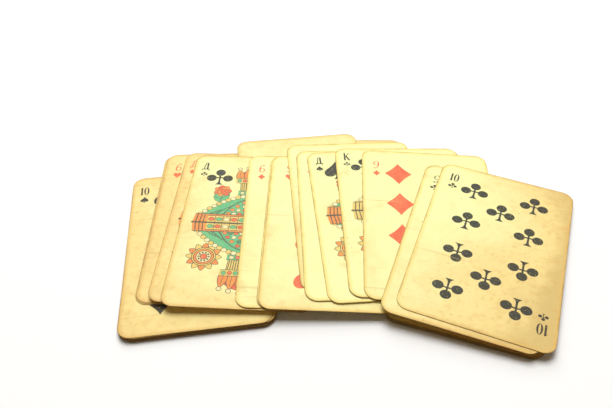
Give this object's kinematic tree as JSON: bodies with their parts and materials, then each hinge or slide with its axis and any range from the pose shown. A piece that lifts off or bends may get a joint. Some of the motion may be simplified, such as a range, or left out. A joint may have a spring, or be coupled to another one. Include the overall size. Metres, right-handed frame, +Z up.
{
  "type": "playing card deck",
  "caption": "Worn pasteboard playing cards with rounded corners, spread face up in an overlapping row; each card slides out of the spread towards the player.",
  "frame": {"origin": "middle of the spread's footprint, on the table", "axes": "+Z up off the table, +X along the row to the player's right, -Y towards the player"},
  "size_m": [0.1922, 0.127, 0.0067],
  "materials": {
    "pale_pasteboard": "worn, printed, slightly glazed",
    "tan_pasteboard": "worn, printed, yellowed"
  },
  "bodies": {
    "six_of_spades": {"six_of_spades": "tan_pasteboard"},
    "seven_of_spades": {"seven_of_spades": "tan_pasteboard"},
    "eight_of_spades": {"eight_of_spades": "tan_pasteboard"},
    "nine_of_spades": {"nine_of_spades": "tan_pasteboard"},
    "jack_of_spades": {"jack_of_spades": "tan_pasteboard"},
    "king_of_hearts": {"king_of_hearts": "tan_pasteboard"},
    "ten_of_hearts": {"ten_of_hearts": "tan_pasteboard"},
    "ace_of_spades": {"ace_of_spades": "tan_pasteboard"},
    "eight_of_clubs": {"eight_of_clubs": "tan_pasteboard"},
    "ten_of_spades": {"ten_of_spades": "tan_pasteboard"},
    "seven_of_clubs": {"seven_of_clubs": "tan_pasteboard"},
    "ace_of_diamonds": {"ace_of_diamonds": "tan_pasteboard"},
    "jack_of_hearts": {"jack_of_hearts": "tan_pasteboard"},
    "six_of_clubs": {"six_of_clubs": "tan_pasteboard"},
    "ten_of_diamonds": {"ten_of_diamonds": "tan_pasteboard"},
    "eight_of_hearts": {"eight_of_hearts": "tan_pasteboard"},
    "six_of_hearts": {"six_of_hearts": "tan_pasteboard"},
    "queen_of_diamonds": {"queen_of_diamonds": "tan_pasteboard"},
    "ace_of_hearts": {"ace_of_hearts": "pale_pasteboard"},
    "king_of_diamonds": {"king_of_diamonds": "pale_pasteboard"},
    "queen_of_clubs": {"queen_of_clubs": "pale_pasteboard"},
    "six_of_diamonds": {"six_of_diamonds": "pale_pasteboard"},
    "jack_of_diamonds": {"jack_of_diamonds": "pale_pasteboard"},
    "seven_of_hearts": {"seven_of_hearts": "pale_pasteboard"},
    "nine_of_hearts": {"nine_of_hearts": "pale_pasteboard"},
    "king_of_spades": {"king_of_spades": "pale_pasteboard"},
    "seven_of_diamonds": {"seven_of_diamonds": "pale_pasteboard"},
    "queen_of_spades": {"queen_of_spades": "pale_pasteboard"},
    "jack_of_clubs": {"jack_of_clubs": "pale_pasteboard"},
    "king_of_clubs": {"king_of_clubs": "pale_pasteboard"},
    "nine_of_diamonds": {"nine_of_diamonds": "pale_pasteboard"},
    "eight_of_diamonds": {"eight_of_diamonds": "tan_pasteboard"},
    "ace_of_clubs": {"ace_of_clubs": "tan_pasteboard"},
    "queen_of_hearts": {"queen_of_hearts": "tan_pasteboard"},
    "nine_of_clubs": {"nine_of_clubs": "tan_pasteboard"},
    "ten_of_clubs": {"ten_of_clubs": "tan_pasteboard"}
  },
  "joints": [
    {"name": "seven_of_spades_draw", "type": "slide", "parent": "six_of_spades", "child": "seven_of_spades", "axis": [0, -1, 0], "range_m": [0, 0.095]},
    {"name": "eight_of_spades_draw", "type": "slide", "parent": "six_of_spades", "child": "eight_of_spades", "axis": [0, -1, 0], "range_m": [0, 0.095]},
    {"name": "nine_of_spades_draw", "type": "slide", "parent": "six_of_spades", "child": "nine_of_spades", "axis": [0, -1, 0], "range_m": [0, 0.095]},
    {"name": "jack_of_spades_draw", "type": "slide", "parent": "six_of_spades", "child": "jack_of_spades", "axis": [0, -1, 0], "range_m": [0, 0.095]},
    {"name": "king_of_hearts_draw", "type": "slide", "parent": "six_of_spades", "child": "king_of_hearts", "axis": [0, -1, 0], "range_m": [0, 0.095]},
    {"name": "ten_of_hearts_draw", "type": "slide", "parent": "six_of_spades", "child": "ten_of_hearts", "axis": [0, -1, 0], "range_m": [0, 0.095]},
    {"name": "ace_of_spades_draw", "type": "slide", "parent": "six_of_spades", "child": "ace_of_spades", "axis": [0, -1, 0], "range_m": [0, 0.095]},
    {"name": "eight_of_clubs_draw", "type": "slide", "parent": "six_of_spades", "child": "eight_of_clubs", "axis": [0, -1, 0], "range_m": [0, 0.095]},
    {"name": "ten_of_spades_draw", "type": "slide", "parent": "six_of_spades", "child": "ten_of_spades", "axis": [0, -1, 0], "range_m": [0, 0.095]},
    {"name": "seven_of_clubs_draw", "type": "slide", "parent": "six_of_spades", "child": "seven_of_clubs", "axis": [0, -1, 0], "range_m": [0, 0.095]},
    {"name": "ace_of_diamonds_draw", "type": "slide", "parent": "six_of_spades", "child": "ace_of_diamonds", "axis": [0, -1, 0], "range_m": [0, 0.095]},
    {"name": "jack_of_hearts_draw", "type": "slide", "parent": "six_of_spades", "child": "jack_of_hearts", "axis": [0, -1, 0], "range_m": [0, 0.095]},
    {"name": "six_of_clubs_draw", "type": "slide", "parent": "six_of_spades", "child": "six_of_clubs", "axis": [0, -1, 0], "range_m": [0, 0.095]},
    {"name": "ten_of_diamonds_draw", "type": "slide", "parent": "six_of_spades", "child": "ten_of_diamonds", "axis": [0, -1, 0], "range_m": [0, 0.095]},
    {"name": "eight_of_hearts_draw", "type": "slide", "parent": "six_of_spades", "child": "eight_of_hearts", "axis": [0, -1, 0], "range_m": [0, 0.095]},
    {"name": "six_of_hearts_draw", "type": "slide", "parent": "six_of_spades", "child": "six_of_hearts", "axis": [0, -1, 0], "range_m": [0, 0.095]},
    {"name": "queen_of_diamonds_draw", "type": "slide", "parent": "six_of_spades", "child": "queen_of_diamonds", "axis": [0, -1, 0], "range_m": [0, 0.095]},
    {"name": "ace_of_hearts_draw", "type": "slide", "parent": "six_of_spades", "child": "ace_of_hearts", "axis": [0, -1, 0], "range_m": [0, 0.095]},
    {"name": "king_of_diamonds_draw", "type": "slide", "parent": "six_of_spades", "child": "king_of_diamonds", "axis": [0, -1, 0], "range_m": [0, 0.095]},
    {"name": "queen_of_clubs_draw", "type": "slide", "parent": "six_of_spades", "child": "queen_of_clubs", "axis": [0, -1, 0], "range_m": [0, 0.095]},
    {"name": "six_of_diamonds_draw", "type": "slide", "parent": "six_of_spades", "child": "six_of_diamonds", "axis": [0, -1, 0], "range_m": [0, 0.095]},
    {"name": "jack_of_diamonds_draw", "type": "slide", "parent": "six_of_spades", "child": "jack_of_diamonds", "axis": [0, -1, 0], "range_m": [0, 0.095]},
    {"name": "seven_of_hearts_draw", "type": "slide", "parent": "six_of_spades", "child": "seven_of_hearts", "axis": [0, -1, 0], "range_m": [0, 0.095]},
    {"name": "nine_of_hearts_draw", "type": "slide", "parent": "six_of_spades", "child": "nine_of_hearts", "axis": [0, -1, 0], "range_m": [0, 0.095]},
    {"name": "king_of_spades_draw", "type": "slide", "parent": "six_of_spades", "child": "king_of_spades", "axis": [0, -1, 0], "range_m": [0, 0.095]},
    {"name": "seven_of_diamonds_draw", "type": "slide", "parent": "six_of_spades", "child": "seven_of_diamonds", "axis": [0, -1, 0], "range_m": [0, 0.095]},
    {"name": "queen_of_spades_draw", "type": "slide", "parent": "six_of_spades", "child": "queen_of_spades", "axis": [0, -1, 0], "range_m": [0, 0.095]},
    {"name": "jack_of_clubs_draw", "type": "slide", "parent": "six_of_spades", "child": "jack_of_clubs", "axis": [0, -1, 0], "range_m": [0, 0.095]},
    {"name": "king_of_clubs_draw", "type": "slide", "parent": "six_of_spades", "child": "king_of_clubs", "axis": [0, -1, 0], "range_m": [0, 0.095]},
    {"name": "nine_of_diamonds_draw", "type": "slide", "parent": "six_of_spades", "child": "nine_of_diamonds", "axis": [0, -1, 0], "range_m": [0, 0.095]},
    {"name": "eight_of_diamonds_draw", "type": "slide", "parent": "six_of_spades", "child": "eight_of_diamonds", "axis": [0, -1, 0], "range_m": [0, 0.095]},
    {"name": "ace_of_clubs_draw", "type": "slide", "parent": "six_of_spades", "child": "ace_of_clubs", "axis": [0, -1, 0], "range_m": [0, 0.095]},
    {"name": "queen_of_hearts_draw", "type": "slide", "parent": "six_of_spades", "child": "queen_of_hearts", "axis": [0, -1, 0], "range_m": [0, 0.095]},
    {"name": "nine_of_clubs_draw", "type": "slide", "parent": "six_of_spades", "child": "nine_of_clubs", "axis": [0, -1, 0], "range_m": [0, 0.095]},
    {"name": "ten_of_clubs_draw", "type": "slide", "parent": "six_of_spades", "child": "ten_of_clubs", "axis": [0, -1, 0], "range_m": [0, 0.095]}
  ]
}
